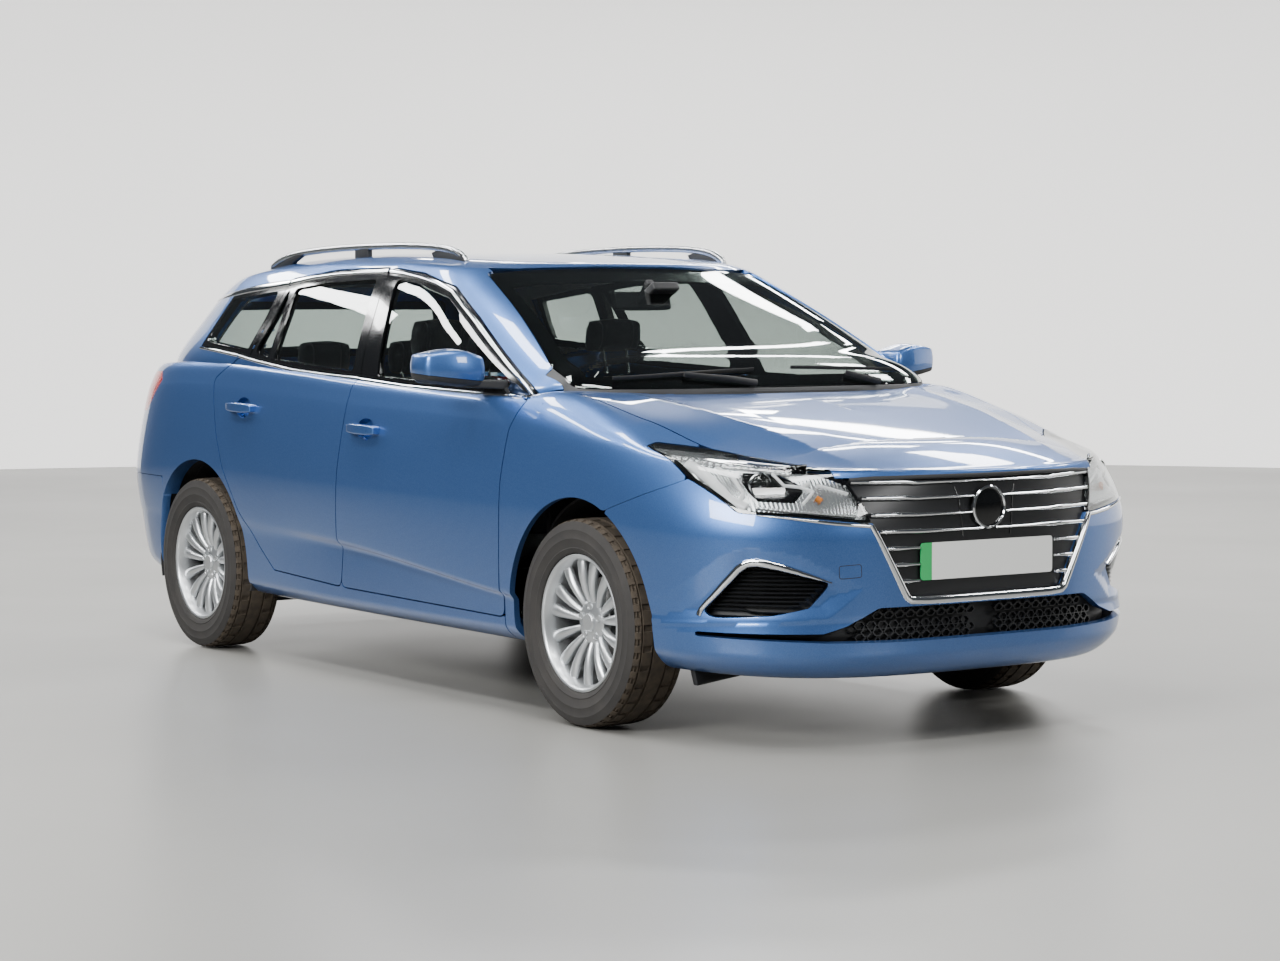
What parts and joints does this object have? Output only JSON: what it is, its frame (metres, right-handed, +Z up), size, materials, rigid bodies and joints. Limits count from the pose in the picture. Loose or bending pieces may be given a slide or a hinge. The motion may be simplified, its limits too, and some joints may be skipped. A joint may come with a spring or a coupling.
{
  "type": "station wagon",
  "caption": "Station wagon with hinged doors, bonnet and tailgate, steered front wheels, roof rails and a furnished cabin.",
  "frame": {"origin": "on the ground, under the middle of the car's length and width", "axes": "+X to the front, +Y to the car's left, +Z up"},
  "size_m": [4.544, 2.104, 1.5429],
  "materials": {
    "blue_paint": "gloss metallic",
    "bumper_paint": "gloss metallic",
    "underbody": "satin",
    "grille_black": "satin",
    "lamp_clear": "clear",
    "lamp_red": "clear",
    "tinted_glass": "clear",
    "rail_silver": "satin",
    "dash_plastic": "grained",
    "steering_leather": "satin",
    "seat_cloth": "woven",
    "cast_parts": "rough",
    "unit_alloy": "cast",
    "battery_case": "satin",
    "tyre_rubber": "matte",
    "wheel_alloy": "satin"
  },
  "bodies": {
    "body": {"floor_pan": "underbody", "bulkhead": "underbody", "wheel_houses": "underbody", "body_side_left": "blue_paint", "body_side_right": "blue_paint", "roof_panel": "blue_paint", "front_fenders": "blue_paint", "front_bumper": "bumper_paint", "grille": "grille_black", "headlamps": "lamp_clear", "rear_bumper": "bumper_paint", "tail_lamps": "lamp_red", "fixed_glass": "tinted_glass", "roof_rails": "rail_silver", "dashboard": "dash_plastic", "seats": "seat_cloth", "load_floor": "dash_plastic", "battery_pack": "battery_case", "drive_unit": "unit_alloy", "front_suspension": "cast_parts", "rear_axle": "cast_parts"},
    "front_door_left": {"front_door_left": "blue_paint", "front_door_glass_left": "tinted_glass", "door_mirror_left": "bumper_paint"},
    "rear_door_left": {"rear_door_left": "blue_paint", "rear_door_glass_left": "tinted_glass"},
    "front_door_right": {"front_door_right": "blue_paint", "front_door_glass_right": "tinted_glass", "door_mirror_right": "bumper_paint"},
    "rear_door_right": {"rear_door_right": "blue_paint", "rear_door_glass_right": "tinted_glass"},
    "bonnet": {"bonnet": "blue_paint"},
    "tailgate": {"tailgate": "blue_paint", "tailgate_glass": "tinted_glass"},
    "front_knuckle_left": {"front_knuckle_left": "cast_parts"},
    "front_knuckle_right": {"front_knuckle_right": "cast_parts"},
    "front_wheel_left": {"front_wheel_left": "wheel_alloy", "front_tyre_left": "tyre_rubber"},
    "front_wheel_right": {"front_wheel_right": "wheel_alloy", "front_tyre_right": "tyre_rubber"},
    "rear_wheel_left": {"rear_wheel_left": "wheel_alloy", "rear_tyre_left": "tyre_rubber"},
    "rear_wheel_right": {"rear_wheel_right": "wheel_alloy", "rear_tyre_right": "tyre_rubber"},
    "steering_wheel": {"steering_wheel": "steering_leather"}
  },
  "joints": [
    {"name": "front_door_left_hinge", "type": "hinge", "parent": "body", "child": "front_door_left", "pos_m": [0.868, 0.892, 0.308], "axis": [-0.0754, 0, -0.9972], "range_deg": [0, 68]},
    {"name": "rear_door_left_hinge", "type": "hinge", "parent": "body", "child": "rear_door_left", "pos_m": [-0.214, 0.896, 0.322], "axis": [-0.1022, 0, -0.9948], "range_deg": [0, 68]},
    {"name": "front_door_right_hinge", "type": "hinge", "parent": "body", "child": "front_door_right", "pos_m": [0.868, -0.892, 0.308], "axis": [0.0754, 0, 0.9972], "range_deg": [0, 68]},
    {"name": "rear_door_right_hinge", "type": "hinge", "parent": "body", "child": "rear_door_right", "pos_m": [-0.214, -0.896, 0.322], "axis": [0.1022, 0, 0.9948], "range_deg": [0, 68]},
    {"name": "bonnet_hinge", "type": "hinge", "parent": "body", "child": "bonnet", "pos_m": [1.135, 0, 1.02], "axis": [0, -1, 0], "range_deg": [0, 52]},
    {"name": "tailgate_hinge", "type": "hinge", "parent": "body", "child": "tailgate", "pos_m": [-1.735, 0, 1.395], "axis": [0, 1, 0], "range_deg": [0, 78]},
    {"name": "steer_left", "type": "hinge", "parent": "body", "child": "front_knuckle_left", "pos_m": [1.335, 0.72, 0.326], "axis": [0, 0, 1], "range_deg": [-35, 35]},
    {"name": "steer_right", "type": "hinge", "parent": "body", "child": "front_knuckle_right", "pos_m": [1.335, -0.72, 0.326], "axis": [0, 0, 1], "range_deg": [-35, 35]},
    {"name": "front_wheel_left_spin", "type": "hinge", "parent": "front_knuckle_left", "child": "front_wheel_left", "pos_m": [1.335, 0.778, 0.326], "axis": [0, 1, 0], "continuous": true},
    {"name": "front_wheel_right_spin", "type": "hinge", "parent": "front_knuckle_right", "child": "front_wheel_right", "pos_m": [1.335, -0.778, 0.326], "axis": [0, 1, 0], "continuous": true},
    {"name": "rear_wheel_left_spin", "type": "hinge", "parent": "body", "child": "rear_wheel_left", "pos_m": [-1.33, 0.778, 0.326], "axis": [0, 1, 0], "continuous": true},
    {"name": "rear_wheel_right_spin", "type": "hinge", "parent": "body", "child": "rear_wheel_right", "pos_m": [-1.33, -0.778, 0.326], "axis": [0, 1, 0], "continuous": true},
    {"name": "steering_wheel_turn", "type": "hinge", "parent": "body", "child": "steering_wheel", "pos_m": [0.52, -0.37, 0.85], "axis": [-0.9135, 0, 0.4067], "range_deg": [-525, 525]}
  ],
  "couplings": [
    {"joint": "steer_right", "follows": "steer_left", "ratio": 1},
    {"joint": "steering_wheel_turn", "follows": "steer_left", "ratio": 15}
  ]
}
